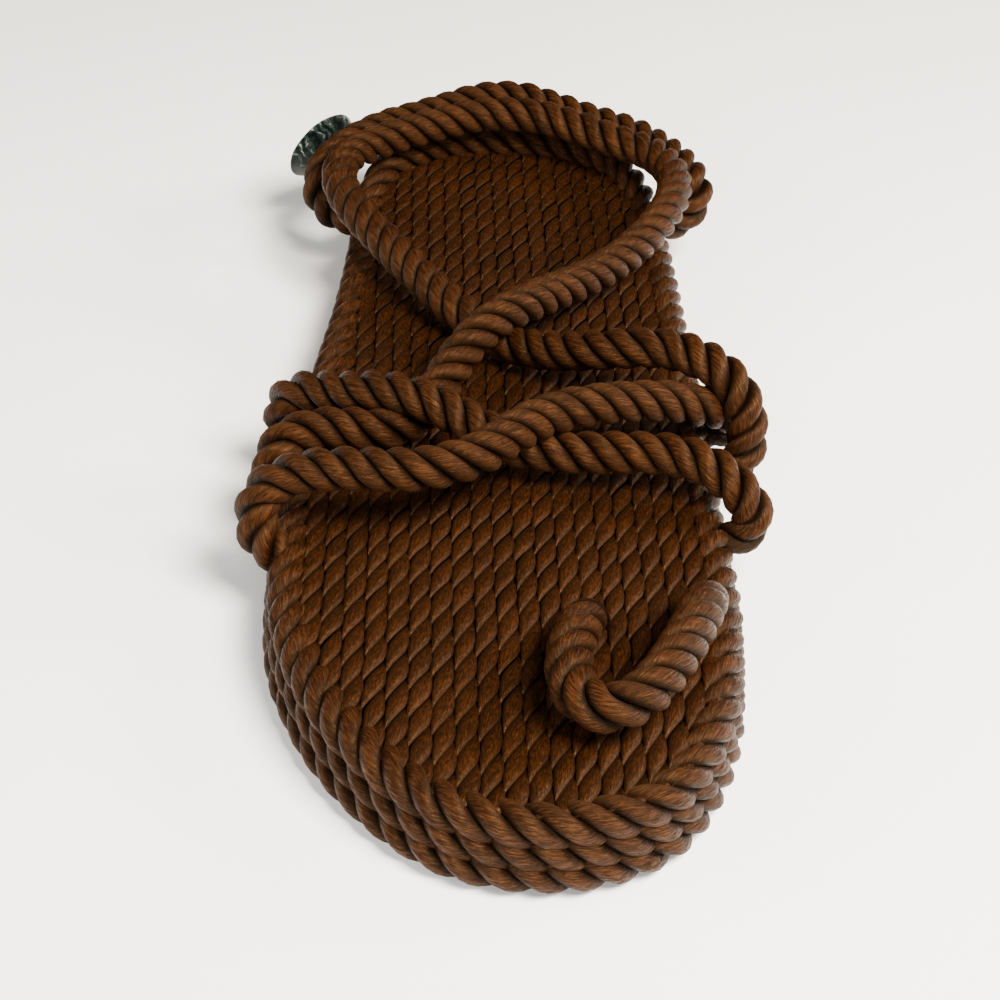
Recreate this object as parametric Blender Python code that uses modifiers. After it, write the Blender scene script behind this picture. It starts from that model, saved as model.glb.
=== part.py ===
"""Rope sandal for the right foot: a sole of two ribbed rope mats inside three
stacked border ropes, and an upper of one rope system that crosses over the foot,
plus a toe loop and a shell button at the lateral heel corner.

Metres, +Z up. The toe points to -Y, the medial (big toe) side is +X, and the
origin is the middle of the whole sandal's box on the floor. The tables below are
in millimetres from the sole's own centre, which lies at SOLE_CENTRE.
"""

import math

import bmesh
import bpy
from mathutils import Vector

MM = 0.001
SOLE_CENTRE = Vector((1.82, -3.37, 0.0))  # mm, from the origin

# The rope and the room it keeps to its neighbours, in mm.
ROPE_RADIUS = 4.5
SQUEEZED = 0.65  # share of the radius where a rope is pulled into the sole's side
SQUEEZE_LENGTH = 10.0  # length that is squeezed, from the rope's buried end
SQUEEZE_FADE = 9.0  # length over which it swells to its full radius
ROPE_SIDES = 10
GAP = 0.35
ROPE_STEP = 5.2  # distance between a strap's sections

# The sole, in mm.
ROW_PITCH = 6.0  # height of one border rope with its gap
ROW_HEIGHT = 5.7
ROW_WIDTH = 7.0
ROW_INSETS = {"border_rope_lower": 0.0, "border_rope_middle": 0.6, "border_rope_upper": 1.2}
SOLE_SECTIONS = 66
MAT_SPLIT = 7.15  # height at which the two mats meet
FOOTBED_TOP = 17.0
COLUMN_WIDTH = 4.1  # one rope column of a mat
COLUMN_COUNT = 23
CREST_WIDTH = 2.2
GROOVE_DEPTH = 0.9

# The sole's edge in plan, each row one place: across, along.
SOLE_EDGE = (
    (3, -123), (-18, -118.4), (-37, -99.8), (-49, -73), (-51.2, -41), (-48, 0), (-41.9, 45),
    (-39, 78), (-38, 96.6), (-32.2, 112), (-14, 125), (12, 126.6), (32.4, 116.4),
    (40.6, 101), (42.4, 84), (43, 58), (43.1, 12), (42.6, -30), (42.4, -65), (37, -95.5),
    (24, -115.8),
)
SOLE_HALF_LENGTH = 130.0

# Round the heel the border ropes swell to a rim that stands above the footbed.
RIM_GROWTH = 0.26  # share of a border rope's size that is added
RIM_START = 88.0  # place along the sole, in mm, where the rim starts to rise
RIM_FULL = 118.0

# Rope routes, each row one place on the centre line: across, along, height.
FRONT_STRAP = (
    (-33, -47.5, 12), (-39.4, -47.5, 12.1), (-45.2, -47.1, 12.9), (-50, -46.2, 15.8),
    (-52.6, -44, 20.4), (-50.9, -41.4, 25.8), (-44.8, -40.2, 29.2), (-37, -40.6, 30.8),
    (-28, -41.8, 31.6), (-19, -41.8, 32.2), (-10, -38, 32.4), (-2.5, -30.4, 32.5),
    (5, -23.4, 32.1), (14, -19, 31.5), (23, -15.8, 30.4), (31.6, -12.8, 28.4),
    (38, -10.6, 25.9), (42.8, -7.8, 23.2), (46.1, -5.4, 20.4), (47.2, -3.6, 17.2),
    (45.6, -2.2, 14.4), (41.8, -1.4, 12.8), (36.6, -1, 12.1), (30.6, -1, 12),
)
CROSS_STRAP = (
    (-31, -6, 12), (-37.6, -6, 12.1), (-43.4, -5.8, 12.7), (-47.4, -5.2, 14.8), (-49.4, -4.6, 18),
    (-48.9, -4.2, 21.2), (-46.2, -4.4, 23.7), (-41.8, -5.8, 25.2), (-36, -8.4, 26.8),
    (-29.5, -11, 28.9), (-22.4, -13.8, 29.8), (-15.6, -17, 29), (-9, -20.6, 27),
    (-2, -24, 25.2), (6, -25.4, 24.6), (14, -26, 24.7), (22, -26.6, 25.3), (30, -28, 25.9),
    (36.4, -30.6, 25.7), (41.2, -33.6, 24), (44.6, -36, 21.2), (46.2, -37.9, 18),
    (45.2, -38.9, 15), (41.6, -39.3, 13), (36.6, -39.4, 12.1), (31, -39.4, 12),
)
RISING_STRAP = (
    (-32, -28, 12), (-38.6, -28, 12.1), (-44.6, -27.8, 12.8), (-48.8, -26.6, 15.4),
    (-50.6, -24, 19.4), (-48.2, -20.8, 22.8), (-42.6, -18.4, 24.2), (-36, -17.4, 24),
    (-28.6, -16.8, 23.4), (-22.4, -12.4, 22.5), (-18.4, -4.6, 22.4), (-14.6, 2.8, 24.4),
    (-10.2, 9.8, 27.3), (-4.8, 16, 29.2), (1.2, 22.2, 29.2), (7.2, 29, 28), (13.2, 35.4, 26.7),
    (19.6, 42.4, 25.7), (26.4, 50.6, 25.4), (32.6, 59, 26), (37.6, 67.4, 27),
    (40.8, 75.2, 27.8), (42.2, 82.6, 28), (41.8, 89.4, 28), (39.6, 95.4, 28), (36, 100.2, 28),
    (31.6, 103.8, 27.8), (27, 106.8, 28), (22.4, 109.8, 28.3), (16, 113, 28.8),
    (9.4, 115.2, 29.4), (1.8, 115.8, 29.6), (-5.6, 115.2, 29.4), (-12.6, 113, 28.8),
    (-19.4, 109.8, 28.3), (-24.6, 106.8, 28), (-29.2, 103.8, 27.8), (-33.6, 100.2, 27.6),
    (-37.6, 95.4, 28), (-39.8, 89.8, 28), (-40.4, 83.2, 28.1), (-39.2, 76, 27.8),
    (-36.2, 68.6, 27), (-31.2, 60.4, 25.8), (-25, 50.8, 24.4), (-18.6, 40.8, 23.2),
    (-12.6, 32.2, 22.4),
    (-6.8, 25.4, 22), (-1.4, 19.2, 22), (4.6, 14.4, 23.2), (10.8, 9.8, 25.8), (17, 6, 28.6),
    (24, 3.4, 31), (31, 1.2, 32.5), (37.2, -2.6, 33), (42.4, -7, 32), (46.2, -10.6, 28.4),
    (47.9, -13.6, 22.4), (47.1, -16.6, 17.2), (43.4, -18.2, 13.6), (37.8, -18.5, 12.2),
    (31.4, -18.5, 12),
)
HEEL_STRAP = (
    (-22, 89, 12.2), (-28.5, 89, 12.2), (-35, 89, 12.4), (-41.2, 89.3, 14), (-45, 90.3, 17.6),
    (-45.7, 92.4, 21.2), (-44.4, 96.4, 23.4), (-41.8, 101.6, 24.4), (-38.4, 106.5, 24.9),
    (-34.4, 110.9, 25.4), (-30.1, 114.4, 25.8), (-24.9, 117.4, 26.1), (-18.6, 120.4, 26.7),
    (-11.8, 123, 27.8), (-5.4, 124.8, 29.1), (1.8, 125.4, 29.7), (9, 124.8, 29.1),
    (15.4, 123, 27.8), (22.2, 120.4, 26.7), (28.5, 117.4, 26.1), (33.7, 114.4, 25.8),
    (38, 110.9, 25.4), (42, 106.5, 24.9), (45.4, 101.6, 24.4), (48, 96.4, 23.4),
    (49.3, 92.4, 21.2), (48.6, 90.3, 17.6), (44.8, 89.3, 14), (38.6, 89, 12.4),
    (32.1, 89, 12.2), (25.6, 89, 12.2),
)
TOE_LOOP = (
    (35, -61.5, 8.6), (35, -61.8, 13.4), (34.2, -64.6, 18.6), (32, -70.8, 22.6),
    (29, -78.4, 24.4), (25.6, -85.8, 25), (21.8, -92.6, 25.4), (17.2, -98.4, 25.4),
    (11.8, -100.8, 25), (7.6, -98.2, 24.6), (5.8, -92.6, 24.2), (6, -86, 23.8),
    (7.6, -79.2, 23), (9.8, -73.2, 21), (11.6, -69.2, 17.4), (12.2, -67.6, 13.2),
    (12.2, -67.4, 8.6),
)
SIDE_POCKET = 27.0  # length of strap that the sole's side makes room for
TOE_POCKET = 14.0

# The shell button, in mm: it leans on the heel strap at the lateral corner.
BUTTON_CENTRE = (-45.9, 110.8, 21.95)
BUTTON_FACING = Vector((-0.65, 0.68, 0.34))
BUTTON_RADIUS = 10.6
BUTTON_THICKNESS = 2.8
BUTTON_EDGE = 1.2
BUTTON_HOLE_RADIUS = 1.1
BUTTON_HOLE_SPACING = 4.4

ROPE_BROWN = (0.135, 0.052, 0.018, 1.0)
SHADED_BROWN = (0.105, 0.040, 0.014, 1.0)
SHELL_GREEN = (0.055, 0.070, 0.052, 1.0)


def clear_scene():
    for obj in list(bpy.data.objects):
        bpy.data.objects.remove(obj, do_unlink=True)


def new_collection(name):
    collection = bpy.data.collections.new(name)
    bpy.context.scene.collection.children.link(collection)
    return collection


def new_material(name, colour, roughness, sheen=0.0):
    material = bpy.data.materials.new(name)
    material.use_nodes = True
    shader = material.node_tree.nodes["Principled BSDF"]
    shader.inputs["Base Color"].default_value = colour
    shader.inputs["Roughness"].default_value = roughness
    shader.inputs["Metallic"].default_value = 0.0
    shader.inputs["Sheen Weight"].default_value = sheen
    return material


def placed(point):
    """A point of the tables, moved to the part's frame and to metres."""
    return (Vector(point) + SOLE_CENTRE) * MM


def curve_between(points, knots, at):
    """Barry and Goldman's form of a Catmull-Rom span between points 1 and 2."""
    level = list(points)
    for depth in (1, 2, 3):
        nearer = []
        for i in range(len(level) - 1):
            # The last level interpolates over the middle span alone.
            first = knots[i + 1] if depth == 3 else knots[i]
            last = knots[i + 2] if depth == 3 else knots[i + depth]
            share = (at - first) / (last - first)
            nearer.append(level[i].lerp(level[i + 1], share))
        level = nearer
    return level[0]


def smooth_line(table, closed=False, samples=12):
    """A dense smooth line through the rows of a table."""
    rows = [Vector(row) for row in table]
    if closed:
        rows = rows[-1:] + rows + rows[:2]
    else:
        rows = [2 * rows[0] - rows[1]] + rows + [2 * rows[-1] - rows[-2]]
    line = []
    for i in range(len(rows) - 3):
        four = rows[i:i + 4]
        knots = [0.0]
        for before, after in zip(four, four[1:]):
            knots.append(knots[-1] + math.sqrt((after - before).length))
        for k in range(samples):
            at = knots[1] + (knots[2] - knots[1]) * k / samples
            line.append(curve_between(four, knots, at))
    line.append(rows[1].copy() if closed else rows[-2].copy())
    return line


def spaced(line, count):
    """The points that divide a line into count equal lengths, ends included."""
    travelled = [0.0]
    for before, after in zip(line, line[1:]):
        travelled.append(travelled[-1] + (after - before).length)
    points = []
    place = 0
    for k in range(count + 1):
        wanted = travelled[-1] * k / count
        while place < len(line) - 2 and travelled[place + 1] < wanted:
            place += 1
        span = travelled[place + 1] - travelled[place]
        points.append(line[place].lerp(line[place + 1], (wanted - travelled[place]) / span))
    return points


def line_length(line):
    return sum((after - before).length for before, after in zip(line, line[1:]))


def rim_share(along):
    """How much of the heel's rim is reached at a place along the sole."""
    share = min(max((along - RIM_START) / (RIM_FULL - RIM_START), 0.0), 1.0)
    return share * share * (3.0 - 2.0 * share)


def sole_edge(inset, rim_inset=0.0, count=SOLE_SECTIONS):
    """The sole's edge in plan, moved inwards, as points in millimetres."""
    table = [(across, along, 0.0) for across, along in SOLE_EDGE]
    edge = spaced(smooth_line(table, closed=True), count)[:-1]
    moved = []
    for i, point in enumerate(edge):
        ahead = edge[(i + 1) % len(edge)] - edge[i - 1]
        inward = Vector((ahead.y, -ahead.x, 0.0)).normalized()
        moved.append(point + inward * (inset + rim_inset * rim_share(point.y)))
    return moved


def curve_object(name, points, collection, cyclic=False, dimensions="3D"):
    data = bpy.data.curves.new(name, "CURVE")
    data.dimensions = dimensions
    spline = data.splines.new("POLY")
    spline.points.add(len(points) - 1)
    for slot, point in zip(spline.points, points):
        slot.co = (point[0], point[1], point[2], 1.0)
    spline.use_cyclic_u = cyclic
    obj = bpy.data.objects.new(name, data)
    collection.objects.link(obj)
    return obj


def as_mesh(curve):
    """Replace a curve object by a mesh object with welded caps."""
    bpy.context.view_layer.update()
    evaluated = curve.evaluated_get(bpy.context.evaluated_depsgraph_get())
    mesh = bpy.data.meshes.new_from_object(evaluated)
    name, collection = curve.name, curve.users_collection[0]
    mesh.transform(curve.matrix_world)
    bpy.data.objects.remove(curve, do_unlink=True)
    shape = bmesh.new()
    shape.from_mesh(mesh)
    bmesh.ops.remove_doubles(shape, verts=shape.verts, dist=1e-6)
    bmesh.ops.recalc_face_normals(shape, faces=shape.faces)
    shape.to_mesh(mesh)
    shape.free()
    obj = bpy.data.objects.new(name, mesh)
    collection.objects.link(obj)
    return obj


def finish(obj, material, smooth=True):
    obj.data.materials.clear()
    obj.data.materials.append(material)
    if smooth:
        obj.data.shade_smooth()
        obj.data.set_sharp_from_angle(angle=math.radians(50))


def hide_cutter(obj):
    obj.hide_render = True
    obj.display_type = "WIRE"


def combine(obj, other, operation, self_crossing=False):
    modifier = obj.modifiers.new(other.name, "BOOLEAN")
    modifier.operation = operation
    modifier.solver = "EXACT"
    modifier.use_self = self_crossing
    modifier.object = other


def squeeze_at(distance_from_end):
    """Share of the rope's radius that is left near a buried end."""
    grown = min(max((distance_from_end - SQUEEZE_LENGTH) / SQUEEZE_FADE, 0.0), 1.0)
    return SQUEEZED + (1.0 - SQUEEZED) * grown


def rope(name, table, collection, squeezed=True):
    """A round rope along a route, thinner where it is pulled into the sole."""
    line = smooth_line(table)
    length = line_length(line)
    points = spaced(line, round(length / ROPE_STEP))
    curve = curve_object(name, [placed(point) for point in points], collection)
    curve.data.bevel_depth = ROPE_RADIUS * MM
    curve.data.bevel_resolution = ROPE_SIDES // 2 - 2
    curve.data.use_fill_caps = True
    if squeezed:
        for i, slot in enumerate(curve.data.splines[0].points):
            travelled = length * i / (len(points) - 1)
            slot.radius = squeeze_at(min(travelled, length - travelled))
    return as_mesh(curve)


def pocket(name, table, length, collection, squeezed=True):
    """A cutter around one buried end of a rope, wider by the gap."""
    line = smooth_line(table)
    whole = line_length(line)
    points = spaced(line, round(whole / ROPE_STEP))
    step = whole / (len(points) - 1)
    kept = points[:round(length / step) + 1]
    start = kept[0] + (kept[0] - kept[1]).normalized() * GAP
    curve = curve_object(name, [placed(point) for point in [start] + kept[1:]], collection)
    curve.data.bevel_depth = ROPE_RADIUS * MM
    curve.data.bevel_resolution = ROPE_SIDES // 2 - 2
    curve.data.use_fill_caps = True
    for i, slot in enumerate(curve.data.splines[0].points):
        share = squeeze_at(i * step) if squeezed else 1.0
        slot.radius = (share + GAP / ROPE_RADIUS) / math.cos(math.pi / ROPE_SIDES)
    cutter = as_mesh(curve)
    hide_cutter(cutter)
    return cutter


def build_pockets(cutters):
    """The cutters for the straps' eight ends and the toe loop's two legs."""
    side = []
    routes = (("front", FRONT_STRAP), ("cross", CROSS_STRAP),
              ("rising", RISING_STRAP), ("heel", HEEL_STRAP))
    for name, table in routes:
        for end, rows in (("lateral", table), ("medial", table[::-1])):
            side.append(pocket(f"{name}_{end}_pocket", rows, SIDE_POCKET, cutters))
    legs = []
    for end, rows in (("medial", TOE_LOOP), ("lateral", TOE_LOOP[::-1])):
        legs.append(pocket(f"toe_{end}_pocket", rows, TOE_POCKET, cutters, squeezed=False))
    return side, legs


def build_border_ropes(parts, pockets, material):
    for row, (name, inset) in enumerate(ROW_INSETS.items()):
        ring = sole_edge(inset + ROW_WIDTH / 2, RIM_GROWTH * ROW_WIDTH / 2)
        swell = [RIM_GROWTH * rim_share(point.y) for point in ring]
        for point, growth in zip(ring, swell):
            # The heights are measured before the curve is squashed to its real height.
            point.z = growth * ROW_WIDTH * (1.06 * row + 0.5)
        curve = curve_object(name, [placed(point) for point in ring], parts, cyclic=True)
        for slot, growth in zip(curve.data.splines[0].points, swell):
            slot.radius = 1.0 + 0.93 * growth
        curve.data.bevel_depth = ROW_WIDTH / 2 * MM
        curve.data.bevel_resolution = 2
        curve.scale.z = ROW_HEIGHT / ROW_WIDTH
        curve.location.z = (ROW_HEIGHT / 2 + row * ROW_PITCH) * MM
        obj = as_mesh(curve)
        if row > 0:
            for cutter in pockets:
                combine(obj, cutter, "DIFFERENCE")
        finish(obj, material)


def rib_profile(low, high, ribs_up):
    """The mat's cross-section: flat on one side, one rib for each rope column."""
    half = COLUMN_COUNT * COLUMN_WIDTH / 2
    crest, valley, flat = (high, high - GROOVE_DEPTH, low)
    if not ribs_up:
        crest, valley, flat = (low, low + GROOVE_DEPTH, high)
    profile = [(-half, flat), (-half, valley)]
    for column in range(COLUMN_COUNT):
        middle = (column + 0.5) * COLUMN_WIDTH - half
        profile.append((middle - CREST_WIDTH / 2, crest))
        profile.append((middle + CREST_WIDTH / 2, crest))
        profile.append((middle + COLUMN_WIDTH / 2, valley))
    profile.append((half, flat))
    return profile


def build_mat(name, low, high, inset, ribs_up, parts, cutters, material):
    """A mat of lengthwise rope columns, trimmed to the sole's outline."""
    profile = [(across * MM, height * MM, 0.0) for across, height in rib_profile(low, high, ribs_up)]
    curve = curve_object(name, profile, parts, cyclic=True, dimensions="2D")
    curve.data.fill_mode = "BOTH"
    curve.data.extrude = SOLE_HALF_LENGTH * MM
    curve.rotation_euler.x = math.pi / 2
    curve.location = placed((0.0, 0.0, 0.0))
    mat = as_mesh(curve)

    edge = [placed((point.x, point.y, 0.0))
            for point in sole_edge(inset, RIM_GROWTH * ROW_WIDTH)]
    outline = curve_object(f"{name}_outline", edge, cutters, cyclic=True, dimensions="2D")
    outline.data.fill_mode = "BOTH"
    outline.data.extrude = 2 * high * MM
    outline = as_mesh(outline)
    hide_cutter(outline)
    combine(mat, outline, "INTERSECT")
    finish(mat, material, smooth=False)
    return mat


def build_straps(parts, cutters, material):
    """The upper: one rope system, joined where its strands cross."""
    straps = rope("straps", RISING_STRAP, parts)
    for name, table in (("heel", HEEL_STRAP), ("cross", CROSS_STRAP), ("front", FRONT_STRAP)):
        strand = rope(f"{name}_strand", table, cutters)
        hide_cutter(strand)
        combine(straps, strand, "UNION", self_crossing=True)
    finish(straps, material)


def build_button(parts, cutters, material):
    turn = BUTTON_FACING.to_track_quat("Z", "Y").to_euler()
    bpy.ops.mesh.primitive_cylinder_add(
        vertices=28, radius=BUTTON_RADIUS * MM, depth=BUTTON_THICKNESS * MM,
        location=placed(BUTTON_CENTRE), rotation=turn)
    button = bpy.context.object
    button.name = "button"
    for collection in list(button.users_collection):
        collection.objects.unlink(button)
    parts.objects.link(button)
    bevel = button.modifiers.new("round_edge", "BEVEL")
    bevel.width = BUTTON_EDGE * MM
    bevel.segments = 2
    bevel.limit_method = "ANGLE"
    for side in (-1, 1):
        offset = turn.to_matrix() @ Vector((side * BUTTON_HOLE_SPACING / 2, 0.0, 0.0))
        bpy.ops.mesh.primitive_cylinder_add(
            vertices=12, radius=BUTTON_HOLE_RADIUS * MM, depth=3 * BUTTON_THICKNESS * MM,
            location=placed(Vector(BUTTON_CENTRE) + offset), rotation=turn)
        hole = bpy.context.object
        hole.name = f"button_hole_{'left' if side < 0 else 'right'}"
        for collection in list(hole.users_collection):
            collection.objects.unlink(hole)
        cutters.objects.link(hole)
        hide_cutter(hole)
        combine(button, hole, "DIFFERENCE")
    finish(button, material)


def build_sandal():
    clear_scene()
    parts = new_collection("rope_sandal")
    cutters = new_collection("cutters")
    rope_brown = new_material("twisted_rope", ROPE_BROWN, 0.55, sheen=0.3)
    mat_brown = new_material("woven_mat", SHADED_BROWN, 0.6, sheen=0.2)
    shell = new_material("polished_shell", SHELL_GREEN, 0.18)

    side_pockets, leg_pockets = build_pockets(cutters)
    outsole_inset = ROW_INSETS["border_rope_lower"] + ROW_WIDTH + GAP
    footbed_inset = ROW_INSETS["border_rope_upper"] + ROW_WIDTH + GAP
    build_mat("outsole", 0.0, MAT_SPLIT - GAP / 2, outsole_inset, False, parts, cutters, mat_brown)
    footbed = build_mat("footbed", MAT_SPLIT + GAP / 2, FOOTBED_TOP, footbed_inset, True,
                        parts, cutters, mat_brown)
    for cutter in side_pockets + leg_pockets:
        combine(footbed, cutter, "DIFFERENCE")
    build_border_ropes(parts, side_pockets + leg_pockets, rope_brown)
    build_straps(parts, cutters, rope_brown)
    toe_loop = rope("toe_loop", TOE_LOOP, parts, squeezed=False)
    finish(toe_loop, rope_brown)
    build_button(parts, cutters, shell)


build_sandal()
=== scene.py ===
import math
import random

import bmesh
import bpy
from mathutils import Matrix, Vector
from mathutils.kdtree import KDTree


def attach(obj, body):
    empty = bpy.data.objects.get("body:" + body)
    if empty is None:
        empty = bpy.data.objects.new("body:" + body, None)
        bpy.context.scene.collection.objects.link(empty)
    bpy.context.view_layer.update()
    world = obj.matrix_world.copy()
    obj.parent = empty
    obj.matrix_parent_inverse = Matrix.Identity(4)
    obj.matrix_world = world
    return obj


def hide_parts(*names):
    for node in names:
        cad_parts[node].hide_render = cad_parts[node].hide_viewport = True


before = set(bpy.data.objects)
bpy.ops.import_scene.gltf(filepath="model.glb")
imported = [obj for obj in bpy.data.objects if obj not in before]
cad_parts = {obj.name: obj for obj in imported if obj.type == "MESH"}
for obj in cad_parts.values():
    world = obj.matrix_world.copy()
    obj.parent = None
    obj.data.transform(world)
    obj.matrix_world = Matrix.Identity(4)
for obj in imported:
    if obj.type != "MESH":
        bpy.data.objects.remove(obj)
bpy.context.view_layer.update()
print("frame loaded")

mm = 0.001  # lengths below are in millimetres
soleCentre = Vector((1.82, -3.37, 0.0))  # mm, the sole's own centre in the part's frame


def addObject(name, data):
    obj = bpy.data.objects.new(name, data)
    bpy.context.scene.collection.objects.link(obj)
    return obj


def hexToLinear(code):
    values = [int(code[i:i + 2], 16) / 255 for i in (1, 3, 5)]
    linear = [v / 12.92 if v <= 0.04045 else ((v + 0.055) / 1.055) ** 2.4 for v in values]
    return (*linear, 1.0)


def addNode(tree, kind, inputs=None, **settings):
    node = tree.nodes.new(kind)
    for name, value in settings.items():
        setattr(node, name, value)
    for key, value in (inputs or {}).items():
        if isinstance(value, bpy.types.NodeSocket):
            tree.links.new(value, node.inputs[key])
        else:
            node.inputs[key].default_value = value
    return node


# camera and light

cameraLook = {
    "place": (-21.8, -342.1, 252.9),  # mm
    "target": (-2.1, -28.9, 12.0),  # mm, a little in front of the crossing straps
    "roll": 2.8,  # degrees
    "lens": 69.0,  # mm
    "sensor": 36.0,  # mm
}

camera = addObject("camera", bpy.data.cameras.new("camera"))
camera.location = Vector(cameraLook["place"]) * mm
aim = Vector(cameraLook["target"]) * mm - camera.location
roll = Matrix.Rotation(math.radians(cameraLook["roll"]), 3, "Z")
camera.rotation_euler = (aim.to_track_quat("-Z", "Y").to_matrix() @ roll).to_euler()
camera.data.lens = cameraLook["lens"]
camera.data.sensor_width = cameraLook["sensor"]
camera.data.clip_start = 10 * mm
bpy.context.scene.camera = camera

lamps = {
    # name: (place mm, width mm, height mm, watts, hex colour)
    "keySoftbox": ((260, -330, 600), 300, 240, 29.0, "#FFF5EA"),
    "rightRear": ((560, 60, 340), 220, 150, 6.0, "#FFF1E2"),
    "leftFill": ((-600, -160, 330), 360, 300, 4.0, "#FFF8F0"),
    "lowFront": ((-60, -760, 260), 400, 200, 6.0, "#FFFFFF"),
}
studio = {
    "lampAim": (0, 0, 10),  # mm, the middle of the sole
    "sky": "#F4F4F2",
    "skyStrength": 0.16,
    "paper": "#F2F2F0",
    "paperRoughness": 0.9,
    "paperReach": 3000,  # mm from the middle to each side
}

for name, (spot, width, height, watts, tint) in lamps.items():
    data = bpy.data.lights.new(name, "AREA")
    data.shape = "RECTANGLE"
    data.size = width * mm
    data.size_y = height * mm
    data.energy = watts
    data.color = hexToLinear(tint)[:3]
    lamp = addObject(name, data)
    lamp.location = Vector(spot) * mm
    aim = Vector(studio["lampAim"]) * mm - lamp.location
    lamp.rotation_euler = aim.to_track_quat("-Z", "Y").to_euler()

world = bpy.data.worlds.new("studio")
world.use_nodes = True
sky = world.node_tree.nodes["Background"]
sky.inputs["Color"].default_value = hexToLinear(studio["sky"])
sky.inputs["Strength"].default_value = studio["skyStrength"]
bpy.context.scene.world = world

reach = studio["paperReach"] * mm
corners = [(-reach, -reach, 0), (reach, -reach, 0), (reach, reach, 0), (-reach, reach, 0)]
floorMesh = bpy.data.meshes.new("floor")
floorMesh.from_pydata(corners, [], [(0, 1, 2, 3)])
floor = addObject("floor", floorMesh)
paper = bpy.data.materials.new("matt_white_paper")
paper.use_nodes = True
shader = paper.node_tree.nodes["Principled BSDF"]
shader.inputs["Base Color"].default_value = hexToLinear(studio["paper"])
shader.inputs["Roughness"].default_value = studio["paperRoughness"]
floorMesh.materials.append(paper)
print("camera, light and floor made")

# materials

ropeLook = {
    # polypropylene multifilament rope, dyed brown: twisted from satin yarns of fine glossy
    # filaments, which gives long soft highlights across the fibres; the grooves are dark partly
    # from the lamps and partly from painted shade
    "dark": "#0A0300",
    "middle": "#1B0B03",
    "light": "#371D0A",
    "roughest": 0.7,
    "smoothest": 0.33,
    "silkiness": 0.7,  # how far the gloss spreads across the fibres
    "gloss": 0.16,  # filaments shade each other, so they mirror less than a smooth plastic
    "glossTint": "#E8B88A",
    "fuzz": 0.02,  # fine hairs that catch the light at the edges
    "fuzzTint": "#C98F5C",
    "yarnWidth": 0.27,  # mm, a little coarser than the real filaments, so that they show
    "yarnLength": 1.4,  # mm
    "yarnTwist": 0.72,  # radians per mm of rope: the yarns run nearly along the rope
    "paintedGrooveShade": 0.05,  # painted shade: what is left of the colour at the bottom of a groove
    "relief": 0.3,  # mm
    "patchSize": 11.1,  # mm, unevenly dyed patches
    "patchShare": 0.12,
    "toneSpread": 0.025,  # how far one strand's colour may lie from the next one's
}
borderLook = dict(ropeLook, dark="#0D0401", middle="#1C0C04", light="#361E0C",
                  yarnTwist=0.5, paintedGrooveShade=0.1)
matLook = dict(ropeLook, dark="#0B0300", middle="#180A02", light="#301605",
               yarnTwist=0.0, gloss=0.28, paintedGrooveShade=0.2)
noiseRange = (0.38, 0.62)  # the noise seldom leaves this range


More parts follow.
